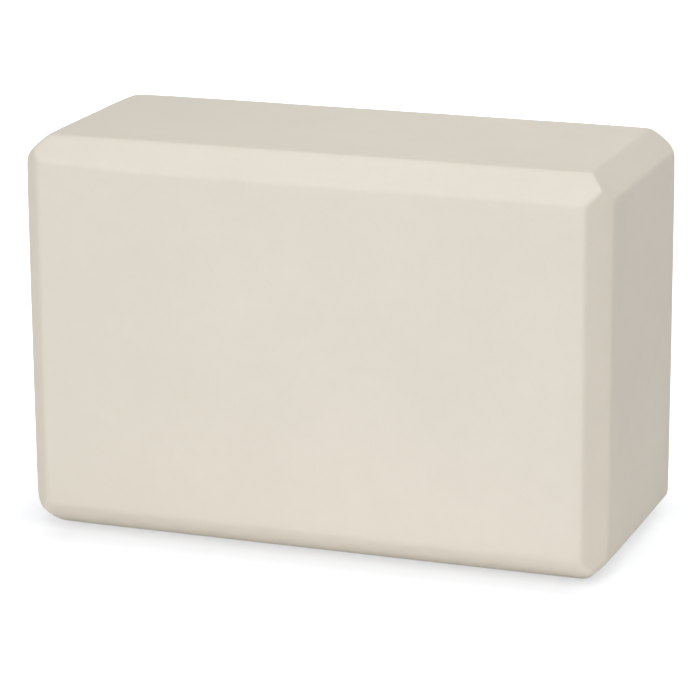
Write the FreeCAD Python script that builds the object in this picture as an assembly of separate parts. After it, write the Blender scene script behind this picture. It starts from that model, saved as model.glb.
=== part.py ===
import FreeCAD, Part
import os

# Foam yoga block, standing on one of its long narrow faces.
# Two foam sheets are bonded face to face, then the bonded blank is bevelled along all twelve edges.
# X runs along the length, Y from the front broad face to the rear one, Z up from the base.

# Driving dimensions, in millimetres
block_length = 228.6
block_height = 152.4
sheet_thickness = 50.7
bond_thickness = 0.2
long_edge_bevel = 9.9       # leg of the bevel on the four edges that run along the length
upright_edge_bevel = 8.4    # leg of the bevel on the four standing edges
end_edge_bevel = 8.7        # leg of the bevel on the four edges that cross the ends
border_radius = 3.0         # sanded rounding where a bevel meets a face or another bevel
cut_overrun = 5.0           # how far a cutting slab stands clear of the block

# The laminate, from the front face to the rear
laminate = [
    ("front_sheet", sheet_thickness),
    ("bond_film", bond_thickness),
    ("rear_sheet", sheet_thickness),
]
block_depth = sum(thickness for name, thickness in laminate)

# The block's three ways across, and its middle
half_share = 0.5
length_way = FreeCAD.Vector(block_length, 0, 0)
depth_way = FreeCAD.Vector(0, block_depth, 0)
height_way = FreeCAD.Vector(0, 0, block_height)
middle = height_way * half_share


def bevelled_bar(run, across, up, bevel):
    """A bar along run, whose across by up section has its four corners bevelled."""
    a = across * half_share
    b = up * half_share
    a_inner = a * (1 - bevel / a.Length)
    b_inner = b * (1 - bevel / b.Length)
    half_section = [a_inner + b, a + b_inner, a - b_inner, a_inner - b]
    section = half_section + [point * -1 for point in half_section]
    start = middle - run * half_share
    outline = Part.makePolygon([start + point for point in section + section[:1]])
    return Part.Face(outline).extrude(run)


def bevelled_blank():
    """The bonded blank after its three bevelling passes, one for each direction of edge."""
    blank = bevelled_bar(length_way, depth_way, height_way, long_edge_bevel)
    blank = blank.common(bevelled_bar(height_way, length_way, depth_way, upright_edge_bevel))
    return blank.common(bevelled_bar(depth_way, length_way, height_way, end_edge_bevel))


def sanded(blank):
    """The blank with every border of its bevels, and every corner where they meet, rounded over."""
    return blank.makeFillet(border_radius, blank.Edges)


def layer(block, front, thickness):
    """The stretch of the block that one layer of the laminate fills."""
    corner = FreeCAD.Vector(-block_length * half_share - cut_overrun, front, -cut_overrun)
    slab = Part.makeBox(
        block_length + cut_overrun + cut_overrun,
        thickness,
        block_height + cut_overrun + cut_overrun,
        corner,
    )
    return block.common(slab).Solids[0]


os.makedirs("parts", exist_ok=True)
block = sanded(bevelled_blank())
front = -block_depth * half_share
for name, thickness in laminate:
    solid = layer(block, front, thickness)
    solid.exportStep("parts/" + name + ".step")
    print(name, "volume", round(solid.Volume), "mm3, valid", solid.isValid())
    front += thickness
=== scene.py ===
import math

import bpy
from mathutils import Matrix, Vector


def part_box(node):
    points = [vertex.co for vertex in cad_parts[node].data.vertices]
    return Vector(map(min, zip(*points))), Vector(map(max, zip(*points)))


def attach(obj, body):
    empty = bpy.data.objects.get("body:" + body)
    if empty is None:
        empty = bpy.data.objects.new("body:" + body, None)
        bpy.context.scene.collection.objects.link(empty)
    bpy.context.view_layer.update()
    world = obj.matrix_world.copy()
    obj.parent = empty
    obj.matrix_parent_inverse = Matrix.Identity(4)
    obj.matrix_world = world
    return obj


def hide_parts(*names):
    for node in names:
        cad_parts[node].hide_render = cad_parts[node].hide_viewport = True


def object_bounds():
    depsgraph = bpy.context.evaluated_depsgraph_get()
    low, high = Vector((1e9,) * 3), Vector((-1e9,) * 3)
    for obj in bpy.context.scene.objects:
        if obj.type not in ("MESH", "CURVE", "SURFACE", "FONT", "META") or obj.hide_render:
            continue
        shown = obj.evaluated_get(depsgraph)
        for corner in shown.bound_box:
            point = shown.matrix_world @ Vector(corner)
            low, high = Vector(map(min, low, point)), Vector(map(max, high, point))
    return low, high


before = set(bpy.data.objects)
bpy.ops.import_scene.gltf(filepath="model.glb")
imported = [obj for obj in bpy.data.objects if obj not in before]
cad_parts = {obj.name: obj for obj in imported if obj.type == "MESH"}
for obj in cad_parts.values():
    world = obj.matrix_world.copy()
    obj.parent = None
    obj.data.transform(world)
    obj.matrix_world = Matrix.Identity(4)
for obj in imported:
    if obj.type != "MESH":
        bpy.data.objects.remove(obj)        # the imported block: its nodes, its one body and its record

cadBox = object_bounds()     # the solids' box
blockLow, blockHigh = cadBox
blockSize = blockHigh - blockLow
millimetres = 1000       # in a metre
print("block", [round(side * millimetres, 1) for side in blockSize], "mm")


class Wire:              # an output socket that can stand in a sum
    def __init__(self, board, socket):
        self.board = board
        self.socket = socket

    def out(self, name):
        return Wire(self.board, self.socket.node.outputs[name])

    def __add__(self, other):
        return self.board.maths("ADD", self, other)

    def __radd__(self, other):
        return self.board.maths("ADD", other, self)

    def __sub__(self, other):
        return self.board.maths("SUBTRACT", self, other)

    def __rsub__(self, other):
        return self.board.maths("SUBTRACT", other, self)

    def __mul__(self, other):
        return self.board.maths("MULTIPLY", self, other)

    def __rmul__(self, other):
        return self.board.maths("MULTIPLY", other, self)

    def __truediv__(self, other):
        return self.board.maths("DIVIDE", self, other)

    def __rtruediv__(self, other):
        return self.board.maths("DIVIDE", other, self)

    def __neg__(self):
        return self.board.maths("MULTIPLY", self, -1.0)

    def __abs__(self):
        return self.board.maths("ABSOLUTE", self)

    def sign(self):
        return self.board.maths("SIGN", self)

    def root(self):
        return self.board.maths("SQRT", self)

    def least(self, other):
        return self.board.maths("MINIMUM", self, other)

    def most(self, other):
        return self.board.maths("MAXIMUM", self, other)

    def below(self, limit):
        return self.board.maths("LESS_THAN", self, limit)

    def above(self, limit):
        return self.board.maths("GREATER_THAN", self, limit)

    def share(self):
        return self.most(0.0).least(1.0)

    def xyz(self):
        split = self.board.node("ShaderNodeSeparateXYZ", {}, {"Vector": self})
        return [split.out(axis) for axis in "XYZ"]


class Board:             # a node tree while it is being wired
    def __init__(self, tree):
        self.tree = tree
        tree.nodes.clear()

    def node(self, kind, settings, sockets, out=0):
        made = self.tree.nodes.new(kind)
        for name, value in settings.items():
            setattr(made, name, value)
        self.plug(made, sockets)
        return Wire(self, made.outputs[out]) if made.outputs else None

    def plug(self, made, sockets):
        for name, value in sockets.items():
            if isinstance(value, Wire):
                self.tree.links.new(value.socket, made.inputs[name])
            else:
                made.inputs[name].default_value = value

    def maths(self, operation, *values):
        return self.node("ShaderNodeMath", {"operation": operation}, dict(enumerate(values)))

    def vector(self, operation, *values, **more):
        sockets = {**dict(enumerate(values)), **more}
        return self.node("ShaderNodeVectorMath", {"operation": operation}, sockets)

    def joined(self, x, y, z):
        return self.node("ShaderNodeCombineXYZ", {}, {"X": x, "Y": y, "Z": z})

    def mixed(self, share, first, second, blend="MIX"):
        factor, colourA, colourB, result = 0, 6, 7, 2        # where a Mix node has its colour sockets
        settings = {"data_type": "RGBA", "blend_type": blend}
        sockets = {factor: share, colourA: first, colourB: second}
        return self.node("ShaderNodeMix", settings, sockets, result)

    def here(self):                              # where each point of a mesh is
        return self.node("GeometryNodeInputPosition", {}, {})

    def moved(self, mesh, **how):                # to a Position, or by an Offset
        return self.node("GeometryNodeSetPosition", {}, {"Geometry": mesh, **how})

    def keep(self, mesh, name, kind, value):     # stores a value on every point
        settings = {"data_type": kind, "domain": "POINT"}
        return self.node("GeometryNodeStoreNamedAttribute", settings, {
            "Geometry": mesh, "Name": name, "Value": value})

    def recall(self, name, kind):                # and reads it back
        return self.node("GeometryNodeInputNamedAttribute", {"data_type": kind}, {"Name": name})

    def repeated(self, mesh, turns, change):     # makes the same change to a mesh over and over
        last = self.node("GeometryNodeRepeatOutput", {}, {}).socket.node
        first = self.node("GeometryNodeRepeatInput", {}, {}).socket.node
        first.pair_with_output(last)
        self.plug(first, {"Iterations": turns, "Geometry": mesh})
        self.plug(last, {"Geometry": change(Wire(self, first.outputs["Geometry"]))})
        return Wire(self, last.outputs["Geometry"])


# The foam: one rule shapes every layer of the block

foamShape = {
    "Long Bevel": 0.0099,        # legs of the bevels, the same as the solids have
    "Upright Bevel": 0.0084,
    "End Bevel": 0.0087,
    "Runout": 0.0028,            # the front top bevel narrows by this at its left end
    "Runout Length": 0.06,
    "Softness": 0.0003,          # how far neighbouring planes melt into each other
    "Rear Wear": 1.2,            # how much more, as a share, at the rear of the top
    "Left Wear": 1.0,            # at the left end
    "Base Wear": 0.8,            # and along the base
    "Corner Wear": 1.5,          # how much more of that wear a corner has
    "Wear Reach": 0.025,
    "Bow": 0.0002,               # how far a face falls off towards its corners
    "Ripple": 0.00004,           # unevenness left by the sander
    "Ripple Length": 0.022,
    "Ripple Detail": 1.0,
    "Edge Zone": 0.0165,         # strip beside each edge that gets most of the grid lines
    "Columns": 104,
    "Rows": 86,
}
cubeSize = (2, 2, 2)             # from -1 to 1 each way
flatShare = 0.5                  # share of the grid lines that the flat middle gets
wrapTurns = 10                   # rounds of pulling the grid on to the bevelled form
tinyShare = 1e-6                 # keeps an arm without length from dividing by nothing
skinDepth = 0.002                # a point deeper than this isn't on the skin
slant = math.sqrt(0.5)           # both parts of a bevel's normal
creaseAngle = 1.0                # radians; only the rims of the cut sides turn by more
noiseMiddle = 0.5                # what a pattern's values lie about
noiseSpread = 4.0                # brings noise about its middle to about -1 to 1


def addSockets(tree):                            # the sizes that a layer is made from
    kinds = {"Finish": "NodeSocketMaterial"}
    for name in ("Columns", "Rows", "Depth Lines"):
        kinds[name] = "NodeSocketInt"
    for name in ("Length", "Depth", "Height", "Outer", "Inner", "Depth Lines", "Finish", *foamShape):
        tree.interface.new_socket(name, in_out="INPUT", socket_type=kinds.get(name, "NodeSocketFloat"))
    tree.interface.new_socket("Layer", in_out="OUTPUT", socket_type="NodeSocketGeometry")


def layerTree():
    tree = bpy.data.node_groups.new("bevelledLayer", "GeometryNodeTree")
    board = Board(tree)
    addSockets(tree)
    given = board.node("NodeGroupInput", {}, {})
    halves = [given.out(name) / 2 for name in ("Length", "Depth", "Height")]
    cube = board.node("GeometryNodeMeshCube", {}, {
        "Size": cubeSize,
        "Vertices X": given.out("Columns"),
        "Vertices Y": given.out("Depth Lines"),
        "Vertices Z": given.out("Rows"),
    })
    mesh = board.moved(cube, Position=spreadGrid(board, given, halves))
    mesh, over, outward, bevelled = wrapGrid(board, given, halves, mesh)
    # the upright bevels' share, where the finish lays its painted shade
    mesh = board.keep(mesh, "bevelled", "FLOAT", bevelled)
    skin = (over / skinDepth + 1.0).share()      # 1 on the skin, 0 inside the block
    swell = skin * ripple(board, given, halves)
    mesh = board.moved(mesh, Offset=board.vector("SCALE", board.vector("NORMALIZE", outward), Scale=swell))
    mesh = board.moved(mesh, Offset=bowOffset(board, given, halves))
    mesh = board.moved(mesh, Offset=board.joined(0.0, 0.0, halves[2]))       # up on to its base
    mesh = shaded(board, mesh)
    for name in ("core", "armShare", "softness"):            # only the wrapping needs them
        mesh = board.node("GeometryNodeRemoveAttribute", {}, {"Geometry": mesh, "Name": name})
    real = board.node("GeometryNodeRealizeInstances", {}, {"Geometry": mesh})
    finished = board.node("GeometryNodeSetMaterial", {}, {"Geometry": real, "Material": given.out("Finish")})
    board.node("NodeGroupOutput", {}, {"Layer": finished})
    return tree


def spreadGrid(board, given, halves):            # a box of grid lines, dense beside the bevelled edges
    zone = given.out("Edge Zone")
    x, y, z = board.here().xyz()

    def packed(place, half):
        out = abs(place)
        middle = (out / flatShare).least(1.0) * (half - zone)
        side = ((out - flatShare) / (1 - flatShare)).most(0.0) * zone
        return place.sign() * (middle + side)

    through = given.out("Inner") - given.out("Outer")
    way = through.sign()
    inward = (y * way + 1.0) / 2
    bevelled = (inward / flatShare).least(1.0) * zone
    plain = ((inward - flatShare) / (1 - flatShare)).most(0.0) * (abs(through) - zone)
    depth = given.out("Outer") + way * (bevelled + plain)
    return board.joined(packed(x, halves[0]), depth, packed(z, halves[2]))


def wrapGrid(board, given, halves, mesh):        # draws the box of grid lines on to the bevelled form
    mesh = board.keep(mesh, "core", "FLOAT_VECTOR", corePlace(board, given, halves))
    core = board.recall("core", "FLOAT_VECTOR")
    arm = board.vector("SUBTRACT", board.here(), core)       # from the core out to a point
    x, y, z = board.vector("ABSOLUTE", arm).xyz()
    mesh = board.keep(mesh, "armShare", "FLOAT", x.most(y).most(z) / given.out("Edge Zone"))
    armShare = board.recall("armShare", "FLOAT")
    fullArm = board.vector("SCALE", arm, Scale=1.0 / armShare.most(tinyShare))
    mesh = board.moved(mesh, Position=board.vector("ADD", core, fullArm))
    mesh = board.keep(mesh, "softness", "FLOAT", softness(board, given, halves))
    soft = board.recall("softness", "FLOAT")

    over, outward, bevelled = surfaceRule(board, given, halves, soft)
    way = board.vector("NORMALIZE", arm)
    steep = board.vector("DOT_PRODUCT", outward, way).out("Value")
    pull = board.vector("SCALE", way, Scale=-(over.most(0.0) / steep))
    mesh = board.repeated(mesh, wrapTurns, lambda part: board.moved(part, Offset=pull))
    ownArm = board.vector("SCALE", arm, Scale=armShare)
    mesh = board.moved(mesh, Position=board.vector("ADD", core, ownArm))
    return mesh, over, outward, bevelled


def corePlace(board, given, halves):             # nearest point of a box that lies within all the bevels
    nearest = []
    for place, half in zip(board.here().xyz(), halves):
        reach = half - given.out("Edge Zone")
        nearest.append(place.least(reach).most(-reach))
    return board.joined(*nearest)


def surfaceRule(board, given, halves, soft):     # the soft maximum of three faces and three bevels
    here = board.here()
    places = here.xyz()
    x, y, z = [abs(place) - half for place, half in zip(places, halves)]     # 0 at a face, negative within
    deep = given.out("Long Bevel")
    low = deep - runout(given, places, halves)
    legs = (deep * deep + low * low).root()
    past = [
        x,
        y,
        z,
        (y * low + z * deep + low * deep) / legs,
        (x + y + given.out("Upright Bevel")) * slant,
        (x + z + given.out("End Bevel")) * slant,
    ]
    end, broad, level, long, upright, cross = [board.maths("EXPONENT", item / soft) for item in past]
    total = end + broad + level + long + upright + cross
    over = board.maths("LOGARITHM", total, math.e) * soft
    slopeX = (end + (upright + cross) * slant) / total
    slopeY = (broad + upright * slant + long * low / legs) / total
    slopeZ = (level + cross * slant + long * deep / legs) / total
    outward = board.vector("MULTIPLY", board.vector("SIGN", here), board.joined(slopeX, slopeY, slopeZ))
    return over, outward, upright / total


def runout(given, places, halves):               # only on the front top bevel, towards its left end
    x, y, z = places
    along = (1.0 - (x + halves[0]) / given.out("Runout Length")).share()
    return along * along * y.below(0.0) * z.above(0.0) * given.out("Runout")


def softness(board, given, halves):              # crisp at the front right, rounder where the block is worn
    places = board.here().xyz()
    x, y, z = places

    def near(gap):                               # 1 at a face, 0 past the reach of the wear
        return (1.0 - gap / given.out("Wear Reach")).share()

    left = near(x + halves[0]) * given.out("Left Wear")
    base = near(z + halves[2]) * given.out("Base Wear")
    rear = near(halves[1] - y) * near(halves[2] - z) * given.out("Rear Wear")
    nearX, nearY, nearZ = [near(half - abs(place)) for place, half in zip(places, halves)]
    corner = 1.0 + nearX * nearY * nearZ * given.out("Corner Wear")
    return given.out("Softness") * (1.0 + (left.most(base) + rear) * corner)


def ripple(board, given, halves):                # slow unevenness, none at the base
    here = board.here()
    waves = board.node("ShaderNodeTexNoise", {"noise_dimensions": "3D"}, {
        "Vector": here,
        "Scale": 1.0 / given.out("Ripple Length"),
        "Detail": given.out("Ripple Detail"),
    }, "Fac")
    lifted = (here.xyz()[2] + halves[2]) / given.out("Edge Zone")
    return (waves - noiseMiddle) * noiseSpread * given.out("Ripple") * lifted.least(1.0)


def bowOffset(board, given, halves):             # faces fall off towards the corners, the base stays flat
    x, y, z = [place / half for place, half in zip(board.here().xyz(), halves)]
    bow = given.out("Bow") / -2                  # the two ways across a face add up at its corners
    return board.joined(
        x * bow * (y * y + z * z),
        y * bow * (x * x + z * z),
        z.most(0.0) * bow * (x * x + y * y),
    )


def shaded(board, mesh):                         # smooth all over, but for the rims of the cut sides
    smooth = board.node("GeometryNodeSetShadeSmooth", {"domain": "FACE"}, {
        "Geometry": mesh, "Shade Smooth": True})
    angle = board.node("GeometryNodeInputMeshEdgeAngle", {}, {})
    return board.node("GeometryNodeSetShadeSmooth", {"domain": "EDGE"}, {
        "Geometry": smooth, "Selection": angle.above(creaseAngle), "Shade Smooth": False})


def makeLayer(name, node, tree, finish, depthLines, rear):
    low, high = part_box(node)
    values = {
        **foamShape,
        "Length": blockSize.x,
        "Depth": blockSize.y,
        "Height": blockSize.z,
        "Outer": high.y if rear else low.y,
        "Inner": low.y if rear else high.y,
        "Depth Lines": depthLines,
        "Finish": finish,
    }
    piece = bpy.data.objects.new(name, bpy.data.meshes.new(name))
    bpy.context.scene.collection.objects.link(piece)
    rule = piece.modifiers.new("rule", "NODES")
    rule.node_group = tree
    for item in tree.interface.items_tree:
        if item.in_out == "INPUT":
            rule[item.identifier] = values[item.name]
    solid = bpy.data.meshes.new_from_object(piece.evaluated_get(bpy.context.evaluated_depsgraph_get()))
    piece.modifiers.remove(rule)
    piece.data = solid
    print(name, len(solid.polygons), "faces")
    return piece


# Finishes

foamFinish = {
    "pale": (0.765, 0.712, 0.628, 1.0),
    "deep": (0.715, 0.668, 0.586, 1.0),
    "sanded": (0.975, 0.968, 0.952, 1.0),    # painted shade: a darker, yellower tint on the upright bevels, as the shade on them has
    "paintedLeftShade": 0.65,             # painted shade: how much deeper the tone gets towards the left end, which the light reaches less
    "cloudSize": 0.05,           # slow change of tone
    "cloudDetail": 2.0,
    "cloudTone": 0.9,            # how far a pattern moves the tone from deep to pale
    "blotchSize": 0.007,
    "blotchDetail": 4.0,
    "blotchTone": 0.5,
    "blotchHeight": 0.5,         # how far a pattern stands up, in grain depths
    "cellSize": 0.0007,          # cut cells of the foam
    "cellTone": 0.35,
    "cellHeight": 0.6,
    "cellRoughness": 0.1,
    "poreSpacing": 0.006,        # the odd larger cell
    "poreSize": 0.0003,
    # painted shade in the larger cells, which the bump also dents
    "paintedPoreShade": 1.2,
    "poreHeight": 1.5,
    "grainDepth": 0.00006,
    "grainStrength": 0.5,
    "roughness": 0.86,
    "specular": 0.08,
    "sheen": 0.02,
    "sheenRoughness": 0.5,
}
bondFinish = {
    **foamFinish,
    "pale": (0.762, 0.708, 0.622, 1.0),
    "deep": (0.712, 0.664, 0.58, 1.0),
    "roughness": 0.8,
}


def startMaterial(name):
    material = bpy.data.materials.new(name)
    material.use_nodes = True
    return material, Board(material.node_tree)


def makeFoamFinish(name, look):
    material, board = startMaterial(name)
    place = board.node("ShaderNodeTexCoord", {}, {}, "Object")
    cloud, blotch = [
        board.node("ShaderNodeTexNoise", {}, {
            "Vector": place, "Scale": 1 / look[kind + "Size"], "Detail": look[kind + "Detail"]}, "Fac")
        for kind in ("cloud", "blotch")
    ]
    cells, pores = [
        board.node("ShaderNodeTexVoronoi", {"feature": "F1"}, {
            "Vector": place, "Scale": 1 / look[spacing]}, "Distance")
        for spacing in ("cellSize", "poreSpacing")
    ]
    pit = (1 - pores * (look["poreSpacing"] / look["poreSize"])).most(0.0)   # 1 in the middle of a pore, where its painted shade and dent are deepest
    leftwards = (place.xyz()[0] / blockLow.x).most(0.0)      # 1 at the left end, where the painted shade is deepest
    # painted shade: the tone falls in the pores and towards the left end
    tone = noiseMiddle - pit * look["paintedPoreShade"] - leftwards * look["paintedLeftShade"]
    for kind, pattern in (("cloud", cloud), ("blotch", blotch), ("cell", cells)):
        tone = tone + (pattern - noiseMiddle) * look[kind + "Tone"]
    # share of upright bevel, which gets the painted shade
    bevelled = board.node("ShaderNodeAttribute", {"attribute_name": "bevelled"}, {}, "Fac")
    colour = board.mixed(tone, look["deep"], look["pale"])
    height = cells * look["cellHeight"] + blotch * look["blotchHeight"] - pit * look["poreHeight"]
    bump = board.node("ShaderNodeBump", {}, {
        "Strength": look["grainStrength"], "Distance": look["grainDepth"], "Height": height})
    skin = board.node("ShaderNodeBsdfPrincipled", {}, {
        "Base Color": board.mixed(bevelled, colour, look["sanded"], "MULTIPLY"),
        "Roughness": look["roughness"] + (cells - noiseMiddle) * look["cellRoughness"],
        "Specular IOR Level": look["specular"],
        "Sheen Weight": look["sheen"],
        "Sheen Roughness": look["sheenRoughness"],
        "Normal": bump,
    })
    board.node("ShaderNodeOutputMaterial", {}, {"Surface": skin})
    return material


# The block's three layers

sheetLines = 46                  # grid lines through a sheet
filmLines = 2                    # and through the film, one on each side
foamSkin = makeFoamFinish("creamFoam", foamFinish)
bondSkin = makeFoamFinish("driedAdhesive", bondFinish)
layerRule = layerTree()
frontSheet = makeLayer("frontSheet", "front_sheet", layerRule, foamSkin, sheetLines, rear=False)
rearSheet = makeLayer("rearSheet", "rear_sheet", layerRule, foamSkin, sheetLines, rear=True)
bondFilm = makeLayer("bondFilm", "bond_film", layerRule, bondSkin, filmLines, rear=False)
for piece, node, slot in (
    (frontSheet, "front_sheet", "foam"),
    (rearSheet, "rear_sheet", "foam"),
    (bondFilm, "bond_film", "bond"),
):
    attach(piece, "root")
    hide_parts(node)
print("block dressed")


# Studio: pale floor, soft light, camera

studio = {
    "floorSide": 24.0,
    "floorColour": (0.93, 0.93, 0.93, 1.0),  # as the light bouncing off it sees it
    "floorGrey": (0.44, 0.44, 0.44, 1.0),    # as the camera sees it, before the lift
    "liftTint": (0.96, 0.975, 1.0),          # against the warm light off the block
    "nearLift": 0.543,                       # how much whiter the floor shows than it is lit
    "leftLift": 0.133,                       # more of it past the block's ends
    "leftSpan": (-0.011, 0.009),             # metres past the base, from none of that to all of it
    "rightLift": 0.13,
    "rightSpan": (-0.006, 0.01),
    "farLift": 0.5,                          # and more clear of the shadow
    "farSpan": (0.01, 0.06),
    "white": (1.0, 1.0, 1.0, 1.0),
    "skyLight": 0.09,
    "skySeen": 1.0,                          # white behind the block
    "lampReach": 4.5,                        # metres from the block to every lamp
}
lamps = {                                    # degrees round from the front, degrees up, light, metres across
    "frontBox": (-23, 10.5, 0.437, 1.8),
    "topBox": (40, 72, 0.85, 4.8),
    "rightBox": (97, 28, 0.142, 2.2),
    "backBox": (192, 8, 0.34, 1.4),
}


def whiteToCamera(board):                    # 1 where the camera, a mirror or a glass looks
    path = board.node("ShaderNodeLightPath", {}, {}, "Is Camera Ray")
    return path.most(path.out("Is Glossy Ray")).most(path.out("Is Transmission Ray"))


def floorLift(board):                        # least beside the block, so that its shadow shows
    x, y = board.node("ShaderNodeTexCoord", {}, {}, "Object").xyz()[:2]
    baseX = blockSize.x / 2 - foamShape["End Bevel"]         # half of the base, between the bevels
    baseY = blockSize.y / 2 - foamShape["Long Bevel"]
    pastLeft = -x - baseX
    pastRight = x - baseX
    pastEnd = pastLeft.most(pastRight).most(0.0)
    pastSide = (abs(y) - baseY).most(0.0)
    away = (pastEnd * pastEnd + pastSide * pastSide).root()
    lift = studio["nearLift"]
    for side, reach in (("left", pastLeft), ("right", pastRight), ("far", away)):
        start, end = studio[side + "Span"]
        lift += board.node("ShaderNodeMapRange", {"interpolation_type": "SMOOTHSTEP"}, {
            "Value": reach, "From Min": start, "From Max": end, "To Max": studio[side + "Lift"]})
    return lift


def makeFloor():
    material, board = startMaterial("paleFloor")
    light, grey = [
        board.node("ShaderNodeBsdfDiffuse", {}, {"Color": studio[name]})
        for name in ("floorColour", "floorGrey")
    ]
    glow = board.node("ShaderNodeEmission", {}, {
        "Color": board.vector("SCALE", studio["liftTint"], Scale=floorLift(board))})
    seen = board.node("ShaderNodeAddShader", {}, {0: grey, 1: glow})
    both = board.node("ShaderNodeMixShader", {}, {0: whiteToCamera(board), 1: light, 2: seen})
    board.node("ShaderNodeOutputMaterial", {}, {"Surface": both})
    half = studio["floorSide"] / 2
    corners = [(-half, -half, 0), (half, -half, 0), (half, half, 0), (-half, half, 0)]
    mesh = bpy.data.meshes.new("floor")
    mesh.from_pydata(corners, [], [range(len(corners))])
    mesh.materials.append(material)
    floor = bpy.data.objects.new("floor", mesh)
    bpy.context.scene.collection.objects.link(floor)


def makeWorld():
    world = bpy.data.worlds.new("studio")
    world.use_nodes = True
    board = Board(world.node_tree)
    light, seen = [
        board.node("ShaderNodeBackground", {}, {"Color": studio["white"], "Strength": studio[name]})
        for name in ("skyLight", "skySeen")
    ]
    both = board.node("ShaderNodeMixShader", {}, {0: whiteToCamera(board), 1: light, 2: seen})
    board.node("ShaderNodeOutputWorld", {}, {"Surface": both})
    bpy.context.scene.world = world


def makeLamps():
    aim = (blockLow + blockHigh) / 2
    reach = studio["lampReach"]
    for name, (turn, up, light, side) in lamps.items():
        lamp = bpy.data.lights.new(name, "AREA")
        lamp.size = side
        lamp.energy = light * (math.pi * reach) ** 2         # a white card facing it gets as bright as light
        swing = Matrix.Rotation(math.radians(turn), 3, "Z") @ Matrix.Rotation(math.radians(-up), 3, "X")
        away = swing @ Vector((0, -reach, 0))
        holder = bpy.data.objects.new(name, lamp)
        holder.location = aim + away
        holder.rotation_euler = (-away).to_track_quat("-Z", "Y").to_euler()
        holder.visible_camera = False
        bpy.context.scene.collection.objects.link(holder)


shot = {
    "place": (0.41815, -1.14604, 0.40937),
    "turn": -20.08,              # degrees from +Y, less than 0 to the left
    "dip": 15.678,               # degrees below level
    "roll": 0.38,
    "lens": 171.2,               # millimetres
    "sensor": 36.0,              # millimetres across
}


def makeCamera():
    lens = bpy.data.cameras.new("shot")
    lens.sensor_width = shot["sensor"]
    lens.lens = shot["lens"]
    camera = bpy.data.objects.new("shot", lens)
    turn, dip, roll = [math.radians(shot[name]) for name in ("turn", "dip", "roll")]
    aim = Matrix.Rotation(-turn, 4, "Z") @ Matrix.Rotation(math.pi / 2 - dip, 4, "X")
    camera.matrix_world = Matrix.Translation(shot["place"]) @ aim @ Matrix.Rotation(-roll, 4, "Z")
    bpy.context.scene.collection.objects.link(camera)
    bpy.context.scene.camera = camera


makeFloor()
makeWorld()
makeLamps()
makeCamera()
bpy.context.scene.view_settings.view_transform = "Standard"
print("studio ready")
